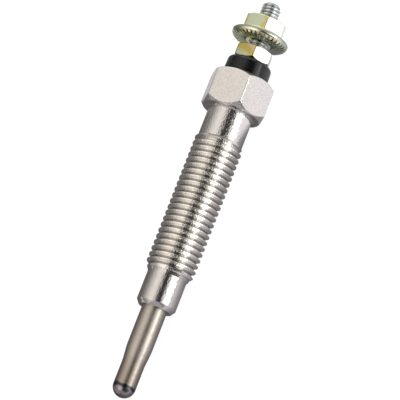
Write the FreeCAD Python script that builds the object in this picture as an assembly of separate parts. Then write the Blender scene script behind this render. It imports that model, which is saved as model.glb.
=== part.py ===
import FreeCAD, Part
import math
import os

# Diesel glow plug, in millimetres. It lies on a surface as it comes to rest: +X runs from the heater tip
# to the terminal, and +Z is up. Each piece is modelled upright on its own axis, with +Z from the tip to
# the terminal and +X towards the flat of the spanner hexagon that ends on top, and is then laid down.

# Heater tube, from its closed tip
TIP_D = 4.44
TIP_LENGTH = 7.0
SWAGE_LENGTH = 3.0
SHEATH_D = 5.0
SHEATH_WALL = 0.65
SHEATH_REACH = 18.2
SHEATH_GRIP = 20.0
TIP_WALL = 1.1
NOSE_ROOM_CHAMFER = 0.2

# Housing
PILOT_D = 7.87
PILOT_LENGTH = 6.7
SEAT_D = 6.6
SEAT_HEIGHT = 0.85
THREAD_D = 9.8
THREAD_LENGTH = 29.0
THREAD_LEAD_IN = 1.65
THREAD_RUN_OUT = 0.7
SHANK_D = 8.96
SHANK_LENGTH = 6.05
SHANK_FLARE = 0.25
HEX_AF = 12.0
HEX_HEIGHT = 7.5
HEX_CHAMFER_D = 11.76
HEX_LOWER_CHAMFER_DEG = 48.0
HEX_UPPER_CHAMFER_DEG = 40.0
HOUSING_BORE_D = 5.6
SEAL_BORE_D = 6.6
SEAL_BORE_DEPTH = 5.1
BORE_CHAMFER = 0.3

# Coils, their packing and the seal at the tube's open end
WIRE_D = 0.42
COIL_D = 2.3
COIL_PITCH = 1.3
HEATING_TURNS = 4.0
REGULATING_TURNS = 5.0
SPIGOT_TURNS = 2.0
WIRE_SIDES = 6
LENGTHS_PER_TURN = 10
SEAL_LENGTH = 2.4

# Centre electrode with its stud
FOOT_D = 2.4
ROD_D = 3.3
FOOT_ABOVE_TUBE = 1.0
FOOT_TAPER = 0.6
STUD_D = 3.9
STUD_ABOVE_RING = 0.8
STUD_CHAMFER = 0.55
STUD_BEYOND_NUT = 3.65

# Insulator bush and the ring under it
BUSH_D = 9.16
BUSH_TOP_D = 9.02
BUSH_HEIGHT = 3.7
BUSH_SHOULDER = 0.75
SHOULDER_STEP = 0.27
BUSH_SPIGOT_LENGTH = 3.6

# Clamp nut and terminal nut
CLAMP_NUT_AF = 7.0
CLAMP_NUT_HEIGHT = 2.9
CLAMP_NUT_TURN_DEG = -10.5
WIRE_GAP = 1.55
TERMINAL_NUT_AF = 8.0
TERMINAL_NUT_HEIGHT = 4.85
TERMINAL_NUT_TURN_DEG = -6.5
FLANGE_D = 11.57
FLANGE_EDGE = 0.8
FLANGE_CHAMFER = 0.2
FLANGE_TOP_DEG = 25.0
SERRATION_OUTER_D = 10.0
SERRATION_INNER_D = 5.2
SERRATION_HEIGHT = 0.55
SERRATIONS = 36
SERRATION_DEPTH = 0.28
SERRATION_WIDTH = 0.5
NUT_CHAMFER_DEG = 32.0
NUT_CHAMFER_SHARE = 0.965
NUT_COUNTERSINK = 0.2

# A hexagon's first corner from +X, and how far beyond its corners the cones that chamfer them start
HEX_CORNER_DEG = 30.0
CORNER_MARGIN = 1.05

SHORTEST_LINE = 0.001

AXIS = FreeCAD.Vector(0, 0, 1)
BASE = FreeCAD.Vector(0, 0, 0)

# Heights along the axis, from the tip
housing_end = SHEATH_REACH
pilot_top = housing_end + PILOT_LENGTH
thread_full = pilot_top + THREAD_LEAD_IN
thread_top = pilot_top + THREAD_LENGTH
hex_bottom = thread_top + SHANK_LENGTH
hex_top = hex_bottom + HEX_HEIGHT
bush_top = hex_top + BUSH_HEIGHT
clamp_nut_top = bush_top + CLAMP_NUT_HEIGHT
terminal_nut_bottom = clamp_nut_top + WIRE_GAP
terminal_nut_top = terminal_nut_bottom + TERMINAL_NUT_HEIGHT
stud_top = terminal_nut_top + STUD_BEYOND_NUT
sheath_top = SHEATH_REACH + SHEATH_GRIP
seal_bottom = sheath_top - SEAL_LENGTH
rod_start = sheath_top + FOOT_ABOVE_TUBE
seal_bore_bottom = hex_top - SEAL_BORE_DEPTH
bush_bottom = hex_top - BUSH_SPIGOT_LENGTH
stud_start = bush_bottom + STUD_ABOVE_RING
coil_bottom = TIP_WALL + WIRE_D / 2
heating_top = coil_bottom + HEATING_TURNS * COIL_PITCH
regulating_top = heating_top + REGULATING_TURNS * COIL_PITCH
spigot_bottom = regulating_top - SPIGOT_TURNS * COIL_PITCH
foot_bottom = regulating_top + WIRE_D


def turned(points):
    """A solid turned about the axis from its half section, as (radius, height) or (radius, height, rounding)."""
    corners = [FreeCAD.Vector(point[0], 0, point[1]) for point in points]
    edges = []
    spans = []
    for index, corner in enumerate(corners):
        if len(points[index]) == 2:
            spans.append((corner, corner))
            continue
        rounding = points[index][2]
        to_last = (corners[index - 1] - corner).normalize()
        to_next = (corners[(index + 1) % len(corners)] - corner).normalize()
        half_angle = to_last.getAngle(to_next) / 2
        inward = (to_last + to_next).normalize()
        middle = corner + inward * (rounding / math.sin(half_angle) - rounding)
        start = corner + to_last * (rounding / math.tan(half_angle))
        end = corner + to_next * (rounding / math.tan(half_angle))
        edges.append(Part.Arc(start, middle, end).toShape())
        spans.append((start, end))
    for index, span in enumerate(spans):
        line_start = spans[index - 1][1]
        if line_start.distanceToPoint(span[0]) > SHORTEST_LINE:
            edges.append(Part.makeLine(line_start, span[0]))
    section = Part.Wire(Part.sortEdges(edges)[0])
    return Part.Face(section).revolve(BASE, AXIS, 360)


def rod(diameter, bottom, top):
    """A round bar about the axis."""
    return Part.makeCylinder(diameter / 2, top - bottom, FreeCAD.Vector(0, 0, bottom))


def hexagon_bar(across_flats, bottom, top, turn_deg):
    """A hexagonal bar about the axis, with a corner at turn_deg from +X."""
    corner_radius = across_flats / math.sqrt(3)
    corners = []
    for step in range(7):
        angle = math.radians(turn_deg + 60 * step)
        corners.append(FreeCAD.Vector(corner_radius * math.cos(angle), corner_radius * math.sin(angle), bottom))
    return Part.Face(Part.makePolygon(corners)).extrude(AXIS * (top - bottom))


def chamfered_hexagon(across_flats, bottom, top, turn_deg, chamfer_d, lower_deg, upper_deg):
    """A hexagonal bar whose corners are turned off by a cone at each end. An angle of 0 leaves an end sharp."""
    reach = across_flats / math.sqrt(3) * CORNER_MARGIN
    run = reach - chamfer_d / 2
    lower_rise = run * math.tan(math.radians(lower_deg))
    upper_rise = run * math.tan(math.radians(upper_deg))
    points = [(0, bottom)]
    if lower_deg:
        points += [(chamfer_d / 2, bottom), (reach, bottom + lower_rise)]
    else:
        points += [(reach, bottom)]
    points += [(reach, top - upper_rise), (chamfer_d / 2, top), (0, top)]
    return hexagon_bar(across_flats, bottom, top, turn_deg).common(turned(points))


def nut_bore(bottom, top):
    """The stud's hole through a nut, countersunk at the outer end."""
    mouth = STUD_D / 2 + NUT_COUNTERSINK
    return turned([
        (0, bottom),
        (STUD_D / 2, bottom),
        (STUD_D / 2, top - NUT_COUNTERSINK),
        (mouth, top),
        (0, top),
    ])


def tube_form(tip_r, body_r, end_points):
    """A solid with the heater tube's form: an end, a thin tip, a swaged taper and a straight tube."""
    return turned(end_points + [
        (tip_r, TIP_LENGTH),
        (body_r, TIP_LENGTH + SWAGE_LENGTH),
        (body_r, sheath_top),
        (0, sheath_top),
    ])


def make_sheath_space():
    """The room inside the heater tube."""
    tip_r = TIP_D / 2 - SHEATH_WALL
    body_r = SHEATH_D / 2 - SHEATH_WALL
    end = [
        (0, TIP_WALL),
        (tip_r - NOSE_ROOM_CHAMFER, TIP_WALL),
        (tip_r, TIP_WALL + NOSE_ROOM_CHAMFER),
    ]
    return tube_form(tip_r, body_r, end)


def make_heater_sheath():
    """The heat-proof tube, closed by a half ball at its tip and open inside the housing."""
    tip_r = TIP_D / 2
    outside = tube_form(tip_r, SHEATH_D / 2, [(0, 0), (tip_r, 0, tip_r)])
    return outside.cut(make_sheath_space())


def make_housing():
    """The turned body: pilot with its seat, thread at its outer size, shank, hexagon and stepped bore."""
    pilot_r = PILOT_D / 2
    thread_r = THREAD_D / 2
    shank_r = SHANK_D / 2
    points = [
        (0, housing_end),
        (SEAT_D / 2, housing_end),
        (pilot_r, housing_end + SEAT_HEIGHT),
        (pilot_r, pilot_top),
        (thread_r, thread_full),
        (thread_r, thread_top - THREAD_RUN_OUT),
        (shank_r, thread_top),
        (shank_r, hex_bottom - SHANK_FLARE),
        (shank_r + SHANK_FLARE, hex_bottom),
        (0, hex_bottom),
    ]
    spanner_hex = chamfered_hexagon(
        HEX_AF,
        hex_bottom,
        hex_top,
        HEX_CORNER_DEG,
        HEX_CHAMFER_D,
        HEX_LOWER_CHAMFER_DEG,
        HEX_UPPER_CHAMFER_DEG,
    )
    body = turned(points).fuse(spanner_hex)
    bore = [
        (0, housing_end),
        (SHEATH_D / 2, housing_end),
        (SHEATH_D / 2, sheath_top),
        (HOUSING_BORE_D / 2, sheath_top),
        (HOUSING_BORE_D / 2, seal_bore_bottom),
        (SEAL_BORE_D / 2, seal_bore_bottom),
        (SEAL_BORE_D / 2, hex_top - BORE_CHAMFER),
        (SEAL_BORE_D / 2 + BORE_CHAMFER, hex_top),
        (0, hex_top),
    ]
    return body.cut(turned(bore))


def wound_wire(bottom, turns):
    """Wire wound into an even right-hand coil that starts at bottom, as short straight lengths mitred together."""
    radius = COIL_D / 2
    lengths = round(turns * LENGTHS_PER_TURN)
    centres = []
    for step in range(lengths + 1):
        angle = 2 * math.pi * step / LENGTHS_PER_TURN
        height = bottom + COIL_PITCH * step / LENGTHS_PER_TURN
        centres.append(FreeCAD.Vector(radius * math.cos(angle), radius * math.sin(angle), height))
    path = Part.makePolygon(centres)
    along = (centres[1] - centres[0]).normalize()
    outward = FreeCAD.Vector(1, 0, 0)
    outward = (outward - along * outward.dot(along)).normalize()
    upward = outward.cross(along)
    corners = []
    for side in range(WIRE_SIDES + 1):
        angle = 2 * math.pi * (side + 0.5) / WIRE_SIDES
        corners.append(centres[0] + (outward * math.cos(angle) + upward * math.sin(angle)) * (WIRE_D / 2))
    return Part.Wire(path).makePipeShell([Part.makePolygon(corners)], True, False, 1)


def make_regulating_coil():
    """The second coil, which carries on the first and ends round the electrode's spigot."""
    coil = wound_wire(heating_top, REGULATING_TURNS)
    coil.rotate(BASE, AXIS, 360 * HEATING_TURNS)
    return coil


def make_heating_coil(next_coil):
    """The coil that glows, from the tube's closed end to its butt joint with the next coil."""
    return wound_wire(coil_bottom, HEATING_TURNS).cut(next_coil)


def make_centre_electrode():
    """One turned pin: the coil's spigot, the foot in the packing, the rod and the stud."""
    spigot_r = COIL_D / 2 * math.cos(math.pi / LENGTHS_PER_TURN) - WIRE_D / 2
    stud_r = STUD_D / 2
    points = [
        (0, spigot_bottom),
        (spigot_r, spigot_bottom),
        (spigot_r, foot_bottom),
        (FOOT_D / 2, foot_bottom),
        (FOOT_D / 2, rod_start - FOOT_TAPER),
        (ROD_D / 2, rod_start),
        (ROD_D / 2, stud_start),
        (stud_r, stud_start + (STUD_D - ROD_D) / 2),
        (stud_r, stud_top - STUD_CHAMFER),
        (stud_r - STUD_CHAMFER, stud_top),
        (0, stud_top),
    ]
    return turned(points)


def make_insulating_powder(coils, electrode):
    """The packed powder: all of the tube's room up to the seal, less the coils and the electrode's foot."""
    room = make_sheath_space().common(rod(SHEATH_D, 0, seal_bottom))
    return room.cut(electrode).cut(coils)


def make_sheath_seal():
    """The rubber plug between the electrode's foot and the tube's open end."""
    plug = rod(SHEATH_D - 2 * SHEATH_WALL, seal_bottom, sheath_top)
    return plug.cut(rod(FOOT_D, seal_bottom, sheath_top))


def make_o_ring():
    """The ring under the bush, squeezed until it fills the seal bore from the electrode to the bore's wall."""
    outside = rod(SEAL_BORE_D, seal_bore_bottom, bush_bottom)
    return outside.cut(rod(ROD_D, seal_bore_bottom, bush_bottom))


def make_insulator_bush():
    """The black bush: a head on the hexagon and a spigot in the seal bore."""
    points = [
        (STUD_D / 2, bush_bottom),
        (SEAL_BORE_D / 2, bush_bottom),
        (SEAL_BORE_D / 2, hex_top - BORE_CHAMFER),
        (SEAL_BORE_D / 2 + BORE_CHAMFER, hex_top),
        (BUSH_D / 2, hex_top),
        (BUSH_TOP_D / 2, bush_top - BUSH_SHOULDER),
        (BUSH_TOP_D / 2 - BUSH_SHOULDER * SHOULDER_STEP, bush_top - BUSH_SHOULDER * SHOULDER_STEP),
        (BUSH_TOP_D / 2 - BUSH_SHOULDER, bush_top),
        (STUD_D / 2, bush_top),
    ]
    return turned(points)


def make_clamp_nut():
    """The thin nut that holds the bush down."""
    blank = chamfered_hexagon(
        CLAMP_NUT_AF,
        bush_top,
        clamp_nut_top,
        HEX_CORNER_DEG + CLAMP_NUT_TURN_DEG,
        CLAMP_NUT_AF * NUT_CHAMFER_SHARE,
        NUT_CHAMFER_DEG,
        NUT_CHAMFER_DEG,
    )
    return blank.cut(nut_bore(bush_top, clamp_nut_top))


def serration_groove():
    """One radial groove of the flange's clamping face, at +X, with one steep side and one sloping floor."""
    half_width = SERRATION_WIDTH / 2
    face = terminal_nut_bottom
    start = SERRATION_INNER_D / 2
    section = Part.makePolygon([
        FreeCAD.Vector(start, -half_width, face - SERRATION_DEPTH),
        FreeCAD.Vector(start, half_width, face - SERRATION_DEPTH),
        FreeCAD.Vector(start, half_width, face),
        FreeCAD.Vector(start, -half_width, face + SERRATION_DEPTH),
        FreeCAD.Vector(start, -half_width, face - SERRATION_DEPTH),
    ])
    return Part.Face(section).extrude(FreeCAD.Vector(FLANGE_D / 2, 0, 0))


def make_terminal_nut():
    """The nut with its serrated flange: bevelled rim, coned top and a ring of ratchet teeth underneath."""
    bottom = terminal_nut_bottom
    rim_bottom = bottom + SERRATION_HEIGHT
    rim_top = rim_bottom + FLANGE_EDGE
    cone_rise = FLANGE_D / 2 * math.tan(math.radians(FLANGE_TOP_DEG))
    flange = turned([
        (0, bottom),
        (SERRATION_OUTER_D / 2, bottom),
        (FLANGE_D / 2, rim_bottom),
        (FLANGE_D / 2, rim_top - FLANGE_CHAMFER),
        (FLANGE_D / 2 - FLANGE_CHAMFER, rim_top),
        (0, rim_top + cone_rise),
    ])
    groove = serration_groove()
    grooves = []
    for step in range(SERRATIONS):
        turned_groove = groove.copy()
        turned_groove.rotate(BASE, AXIS, 360 * step / SERRATIONS)
        grooves.append(turned_groove)
    flange = flange.cut(grooves)
    hexagon = chamfered_hexagon(
        TERMINAL_NUT_AF,
        rim_top,
        terminal_nut_top,
        HEX_CORNER_DEG + TERMINAL_NUT_TURN_DEG,
        TERMINAL_NUT_AF * NUT_CHAMFER_SHARE,
        0,
        NUT_CHAMFER_DEG,
    )
    return flange.fuse(hexagon).cut(nut_bore(bottom, terminal_nut_top))


def lay_down(shape):
    """Turns an upright shape so that the hexagon's flat and the thread's first turn rest on a level surface."""
    fall = HEX_AF / 2 - THREAD_D / 2
    tilt = math.atan2(fall, hex_bottom - thread_full)
    rows = FreeCAD.Matrix(
        -math.sin(tilt), 0, math.cos(tilt), 0,
        0, -1, 0, 0,
        math.cos(tilt), 0, math.sin(tilt), 0,
        0, 0, 0, 1,
    )
    return shape.transformed(rows)


def main():
    regulating_coil = make_regulating_coil()
    heating_coil = make_heating_coil(regulating_coil)
    centre_electrode = make_centre_electrode()
    pieces = {
        "housing": make_housing(),
        "heater_sheath": make_heater_sheath(),
        "heating_coil": heating_coil,
        "regulating_coil": regulating_coil,
        "insulating_powder": make_insulating_powder([heating_coil, regulating_coil], centre_electrode),
        "sheath_seal": make_sheath_seal(),
        "centre_electrode": centre_electrode,
        "o_ring": make_o_ring(),
        "insulator_bush": make_insulator_bush(),
        "clamp_nut": make_clamp_nut(),
        "terminal_nut": make_terminal_nut(),
    }
    laid = {name: lay_down(shape) for name, shape in pieces.items()}
    box = Part.makeCompound(list(laid.values())).optimalBoundingBox(False, False)
    to_origin = FreeCAD.Vector(-box.Center.x, -box.Center.y, -box.ZMin)
    os.makedirs("parts", exist_ok=True)
    for name, shape in laid.items():
        shape.translate(to_origin)
        shape.exportStep("parts/" + name + ".step")
        print(name, "solids", len(shape.Solids), "valid", shape.isValid(), "volume", round(shape.Volume, 3))


main()
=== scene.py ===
"""A diesel glow plug: the finished pieces, their materials, the stage and the camera.

Every piece is modelled upright on its own axis, which rises from the heater tip to the terminal, and is
then laid down. Sizes are in metres; the constants below are in millimetres.
"""
import math

import bmesh
import bpy
from mathutils import Matrix, Vector


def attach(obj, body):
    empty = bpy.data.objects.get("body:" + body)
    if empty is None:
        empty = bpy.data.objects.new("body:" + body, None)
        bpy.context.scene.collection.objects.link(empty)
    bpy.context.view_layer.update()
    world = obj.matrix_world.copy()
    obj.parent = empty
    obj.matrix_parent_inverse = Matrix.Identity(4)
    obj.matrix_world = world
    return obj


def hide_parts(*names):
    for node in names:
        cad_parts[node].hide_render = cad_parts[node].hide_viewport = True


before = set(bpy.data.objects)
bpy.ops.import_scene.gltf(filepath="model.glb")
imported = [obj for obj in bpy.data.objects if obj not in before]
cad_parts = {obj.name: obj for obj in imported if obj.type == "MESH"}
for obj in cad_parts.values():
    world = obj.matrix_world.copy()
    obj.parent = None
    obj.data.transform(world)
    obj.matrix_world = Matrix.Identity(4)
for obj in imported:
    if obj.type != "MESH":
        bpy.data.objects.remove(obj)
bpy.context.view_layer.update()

bl_info = {
    "name": "Diesel glow plug",
    "version": (1, 0, 0),
    "blender": (4, 5, 0),
    "location": "3D View > Sidebar > Glow plug",
    "description": "Models the pieces of a glow plug over its solid model and sets the stage",
    "category": "Object",
}

MM = 0.001

# How the plug lies: its axis rises along +X, and its tip is at TIP_PLACE
TILT = math.radians(1.8863049)
TIP_PLACE = (-42.0496535, 0.0, 4.0234174)

# Heights along the axis and radii
TUBE_TIP_R = 2.22
TUBE_R = 2.5
TUBE_WALL = 0.65
TUBE_FLOOR = 1.1
SWAGE_BOTTOM = 7.0
SWAGE_TOP = 10.0
TUBE_TOP = 38.2
HOUSING_END = 18.2
SEAT_R = 3.3
SEAT_TOP = 19.05
PILOT_R = 3.935
PILOT_TOP = 24.9
THREAD_R = 4.9
THREAD_FULL = 26.55
THREAD_FULL_TOP = 53.2
THREAD_TOP = 53.9
BODY_THREAD_PHASE = 0.32
BODY_THREAD_FADE = 1.2
SHANK_R = 4.48
SHANK_FLARE = 0.25
HEX_BOTTOM = 59.95
HEX_TOP = 67.45
HEX_FLATS = 12.0
HEX_CHAMFER_R = 5.88
HEX_LOWER_ANGLE = math.radians(48)
HEX_UPPER_ANGLE = math.radians(40)
BORE_R = 2.8
SEAL_BORE_R = 3.3
SEAL_BORE_BOTTOM = 62.35
BORE_CHAMFER = 0.3
BUSH_BOTTOM = 63.85
BUSH_R = 4.58
BUSH_TOP_R = 4.51
BUSH_TOP = 71.15
BUSH_SHOULDER = 0.75
CLAMP_NUT_TOP = 74.05
CLAMP_NUT_FLATS = 7.0
CLAMP_NUT_TURN = math.radians(-10.5)
FLANGE_BOTTOM = 75.6
RIM_BOTTOM = 76.15
RIM_TOP = 76.95
FLANGE_R = 5.785
FLANGE_TEETH_R = 5.0
FLANGE_TEETH_INNER_R = 2.6
FLANGE_SLOPE = math.radians(25)
TERMINAL_NUT_TOP = 80.45
TERMINAL_NUT_FLATS = 8.0
TERMINAL_NUT_TURN = math.radians(-6.5)
NUT_CHAMFER_SHARE = 0.965
NUT_CHAMFER_ANGLE = math.radians(32)
NUT_COUNTERSINK = 0.2
STUD_R = 1.95
STUD_CHAMFER = 0.55
STUD_TOP = 84.1
STUD_START = 64.65
STUD_THREAD_FADE = 0.3
ROD_R = 1.65
ROD_START = 39.2
FOOT_R = 1.2
FOOT_TAPER = 0.6
FOOT_BOTTOM = 13.43
SPIGOT_R = 0.88372
SPIGOT_BOTTOM = 10.41

# Columns on each flat of a hexagonal piece, and the sharpest edge that is smoothed
FLAT_COLUMNS = 14
SMOOTH_ANGLE = math.radians(28)

# How far the camera is turned round the plug from straight above, leant towards its tip and rolled, the
# height on the axis that it looks at, its place from there in its own directions, and its focal length
CAMERA_TURN = math.radians(23.5)
CAMERA_LEAN = math.radians(14.43)
CAMERA_ROLL = math.radians(21.278)
CAMERA_AIM = 41.45
CAMERA_PLACE = (0.512, -0.115, 406.6)
CAMERA_LENS = 189.0

WHITE = (1, 1, 1, 1)


def length(name, description, millimetres):
    """A length that the user can change, stored in metres."""
    return bpy.props.FloatProperty(
        name=name, description=description, default=millimetres * MM, min=0.001 * MM,
        precision=6, unit="LENGTH",
    )


def colour(name, description, *value):
    """A colour that the user can change."""
    return bpy.props.FloatVectorProperty(
        name=name, description=description, default=(*value, 1.0), size=4, min=0.0, max=1.0, subtype="COLOR"
    )


def share(name, description, value, highest=1.0):
    """A plain number from 0 up."""
    return bpy.props.FloatProperty(
        name=name, description=description, default=value, min=0.0, max=highest, subtype="FACTOR"
    )


class PlugSizes(bpy.types.PropertyGroup):
    """Sizes of the fine forms that the solid model leaves plain."""

    body_pitch: length("Body thread pitch", "Its rise in one turn", 1.25)
    body_depth: length("Body thread depth", "From its crest to its root", 0.66)
    body_crest: length("Body thread crest", "Width of the flat on its crest", 0.2)
    stud_pitch: length("Stud thread pitch", "Its rise in one turn", 0.7)
    stud_depth: length("Stud thread depth", "From its crest to its root", 0.4)
    stud_crest: length("Stud thread crest", "Width of the flat on its crest", 0.12)
    hexagon_corner: length("Hexagon corner", "Rounding of the spanner hexagon's upright corners", 0.17)
    nut_corner: length("Nut corner", "Rounding of the nuts' upright corners", 0.36)
    chamfer_edge: length("Chamfer edge", "Rounding where a hexagon meets its chamfer", 0.13)
    tooth_depth: length("Tooth depth", "Depth of the flange's teeth", 0.28)
    tooth_width: length("Tooth width", "Width of a groove between two teeth", 0.43)
    teeth: bpy.props.IntProperty(name="Teeth", description="Teeth under the flange", default=36, min=6)
    steps: bpy.props.IntProperty(
        name="Steps", description="Straight steps in one turn of a round piece", default=96, min=24
    )


class PlugFinish(bpy.types.PropertyGroup):
    """Colours of the plug's surfaces."""

    nickel: colour("Nickel", "Nickel plate", 0.70, 0.67, 0.64)
    nickel_dim: colour("Dim nickel", "Nickel plate where it is thinner", 0.58, 0.55, 0.52)
    # Painted light: a brighter plate on the thread, standing in for light that its flanks catch
    nickel_thread_painted_light: colour("Nickel on the thread", "Nickel plate on the rolled thread", 0.87, 0.835, 0.79)
    # Painted shade: darkens the plate deep in the thread's roots, where shade falls
    thread_root_painted_shade: colour("Thread roots", "Stained plate deep in the thread", 0.11, 0.10, 0.09)
    tube: colour("Tube", "Heater tube", 0.57, 0.52, 0.465)
    tube_dim: colour("Dim tube", "Heater tube between its brush marks", 0.41, 0.365, 0.32)
    tube_tint: colour("Tube tint", "Straw tint next to the heated tip", 0.36, 0.30, 0.25)
    tube_tip: colour("Tube tip", "Mauve grey of the heated dome", 0.37, 0.33, 0.33)
    tube_ring: colour("Tube ring", "Blue-black ring round the tip's dome", 0.05, 0.06, 0.08)
    bush: colour("Bush", "Moulded insulator bush", 0.003, 0.003, 0.0035)
    bush_pale: colour("Pale bush", "Flecks in the bush", 0.018, 0.018, 0.019)
    zinc_gold: colour("Golden zinc", "Zinc where it is yellow", 0.53, 0.42, 0.095)
    zinc_green: colour("Green zinc", "Zinc where it is green", 0.52, 0.56, 0.28)
    zinc_grey: colour("Grey zinc", "Zinc where it is grey-blue", 0.52, 0.57, 0.42)
    zinc_rose: colour("Rose zinc", "Zinc where it is pink", 0.59, 0.48, 0.36)
    # Painted sheen: a paler zinc on the side that faces the low white strip
    zinc_painted_sheen: colour("Pale zinc", "Zinc on the side where the film is thin", 0.66, 0.65, 0.58)
    # Painted highlight: straw colour on the flange's rim where it faces the light
    zinc_rim_painted_highlight: colour("Zinc rim", "Straw tint on the flange's rounded rim", 0.95, 0.87, 0.63)
    # Painted shade: teal grey that darkens one side of the flange and its upright wall
    zinc_painted_shade: colour("Zinc shade", "Teal grey of the flange's lower side", 0.24, 0.29, 0.28)
    stud: colour("Stud", "Zinc plate of the stud", 0.88, 0.91, 0.92)
    stud_dim: colour("Dim stud", "Zinc plate of the stud, dulled", 0.68, 0.71, 0.71)
    # Painted shade: darkens the zinc deep in the stud's thread
    stud_root_painted_shade: colour("Stud roots", "Dull zinc deep in the stud's thread", 0.22, 0.235, 0.23)


class PlugStage(bpy.types.PropertyGroup):
    """Floor and light tent."""

    floor: colour("Floor", "Colour of the floor", 0.22, 0.22, 0.235)
    floor_glow: share("Floor glow", "Added in the camera's own view, up to white", 0.92)
    floor_gloss: share("Floor in gloss", "Added in reflections, on the lamp's side", 0.64)
    floor_near: share("Floor by the nuts", "Added in reflections, behind the nuts", 0.50)
    floor_far: share("Floor at the ends", "Added in reflections, past tip and terminal", 1.0)
    tent_radius: length("Tent radius", "Radius of the light tent", 300)
    tent_length: length("Tent length", "Length of the light tent", 900)
    side_light: share("Side light", "Brightness of the white strip low at the right", 4.0, 20.0)
    side_glow: share("Side glow", "Brightness above that strip", 1.55, 20.0)
    top_light: share("Top light", "Brightness above and behind", 1.12, 20.0)
    dark_strip: share("Dark strip", "Brightness round the camera", 0.055, 1.0)
    fill: share("Fill", "Brightness past the tent's open ends", 0.47, 5.0)
    end_light: share("End light", "Brightness of the end past the terminal", 3.1, 20.0)


def laid_down():
    """The turn and move that lay an upright piece down."""
    return Matrix((
        (-math.sin(TILT), 0, math.cos(TILT), TIP_PLACE[0] * MM),
        (0, -1, 0, TIP_PLACE[1] * MM),
        (math.cos(TILT), 0, math.sin(TILT), TIP_PLACE[2] * MM),
        (0, 0, 0, 1),
    ))


def select_only(*pieces):
    """Leaves only these objects selected, and the first of them active."""
    bpy.ops.object.select_all(action="DESELECT")
    for piece in pieces:
        piece.select_set(True)
    bpy.context.view_layer.objects.active = pieces[0]


def named(name):
    """Names the object that was just added."""
    piece = bpy.context.object
    piece.name = name
    piece.data.name = name
    return piece


def rounded(points, segments=4):
    """Replaces each (radius, height, rounding) point by an arc; a fourth value gives its segments."""
    result = []
    for index, point in enumerate(points):
        if len(point) == 2:
            result.append(tuple(point))
            continue
        corner = Vector(point[:2])
        to_last = (Vector(points[index - 1][:2]) - corner).normalized()
        to_next = (Vector(points[(index + 1) % len(points)][:2]) - corner).normalized()
        half = to_last.angle(to_next) / 2
        centre = corner + (to_last + to_next).normalized() * (point[2] / math.sin(half))
        start = corner + to_last * (point[2] / math.tan(half)) - centre
        end = corner + to_next * (point[2] / math.tan(half)) - centre
        sweep = start.angle_signed(end)
        count = point[3] if len(point) > 3 else segments
        for step in range(count + 1):
            spot = start.copy()
            spot.rotate(Matrix.Rotation(-sweep * step / count, 2))
            result.append(tuple(centre + spot))
    return result


def draw_outline(name, points):
    """An open line through (radius, height) points, drawn by extruding one vertex."""
    bpy.ops.object.select_all(action="DESELECT")
    bpy.ops.mesh.primitive_plane_add(size=MM)
    piece = named(name)
    bpy.ops.object.mode_set(mode="EDIT")
    bpy.ops.mesh.select_mode(type="VERT")
    bpy.ops.mesh.select_all(action="SELECT")
    bpy.ops.mesh.merge(type="CENTER")
    places = [Vector((radius * MM, 0, height * MM)) for radius, height in points]
    bpy.ops.transform.translate(value=places[0])
    for last, this in zip(places, places[1:]):
        bpy.ops.mesh.extrude_region_move(TRANSFORM_OT_translate={"value": this - last})
    bpy.ops.object.mode_set(mode="OBJECT")
    return piece


def open_mesh():
    """Opens the active object's mesh with everything selected."""
    bpy.ops.object.mode_set(mode="EDIT")
    bpy.ops.mesh.select_all(action="SELECT")


def tidy_mesh(piece):
    """Merges points that share a place, closes seams and poles and turns every face outwards."""
    select_only(piece)
    open_mesh()
    bpy.ops.mesh.remove_doubles(threshold=0.0012 * MM)
    bpy.ops.mesh.dissolve_degenerate(threshold=0.0005 * MM)
    bpy.ops.mesh.normals_make_consistent(inside=False)
    bpy.ops.object.mode_set(mode="OBJECT")
    return piece


def turned(name, points, steps, closed=True):
    """A piece turned about the axis from its outline, which needs no closing line along the axis itself."""
    hollow = points[0][0] + points[-1][0] > 0
    piece = draw_outline(name, points + points[:1] if closed and hollow else points)
    open_mesh()
    bpy.ops.mesh.spin(steps=steps, angle=math.tau, center=(0, 0, 0), axis=(0, 0, 1))
    bpy.ops.object.mode_set(mode="OBJECT")
    return tidy_mesh(piece)


def wound(name, crest_r, form, phase, bottom, top, steps, outer, inner):
    """A strip of right-hand thread between two rings.

    form gives its depth, pitch and crest in metres; outer and inner give its limits in mm at each height.
    """
    depth, pitch, crest = (size / MM for size in form)
    start = bottom - 2 * pitch + phase
    outline = thread_outline(crest_r, depth, pitch, crest)
    piece = draw_outline(name, [(radius, height + start) for radius, height in outline])
    screw = piece.modifiers.new("Winding", "SCREW")
    screw.axis = "Z"
    screw.angle = math.tau
    screw.screw_offset = pitch * MM
    screw.iterations = math.ceil((top - bottom) / pitch) + 3
    screw.steps = steps
    screw.render_steps = steps
    select_only(piece)
    bpy.ops.object.modifier_apply(modifier=screw.name)
    for vertex in piece.data.vertices:
        height = min(max(vertex.co.z / MM, bottom), top)
        radius = math.hypot(vertex.co.x, vertex.co.y) / MM
        wanted = max(min(radius, outer(height)), inner(height))
        vertex.co = (vertex.co.x * wanted / radius, vertex.co.y * wanted / radius, height * MM)
    return tidy_mesh(piece)


def thread_outline(crest_r, depth, pitch, crest):
    """One pitch of a 60 degree thread, from root to root."""
    half_pitch = pitch / 2
    root_r = crest_r - depth
    reach = crest / 2 + depth * math.tan(math.radians(30))
    root_rounding = min(0.12 * pitch, 0.3 * crest + 0.04)
    crest_rounding = 0.035 * pitch
    points = [
        (root_r, 0),
        (root_r, half_pitch - reach, root_rounding),
        (crest_r, half_pitch - crest / 2, crest_rounding),
        (crest_r, half_pitch + crest / 2, crest_rounding),
        (root_r, half_pitch + reach, root_rounding),
        (root_r, pitch),
    ]
    return rounded(points, 3)


def merged(pieces):
    """Makes several meshes one."""
    select_only(*pieces)
    bpy.ops.object.join()
    return pieces[0]


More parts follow.
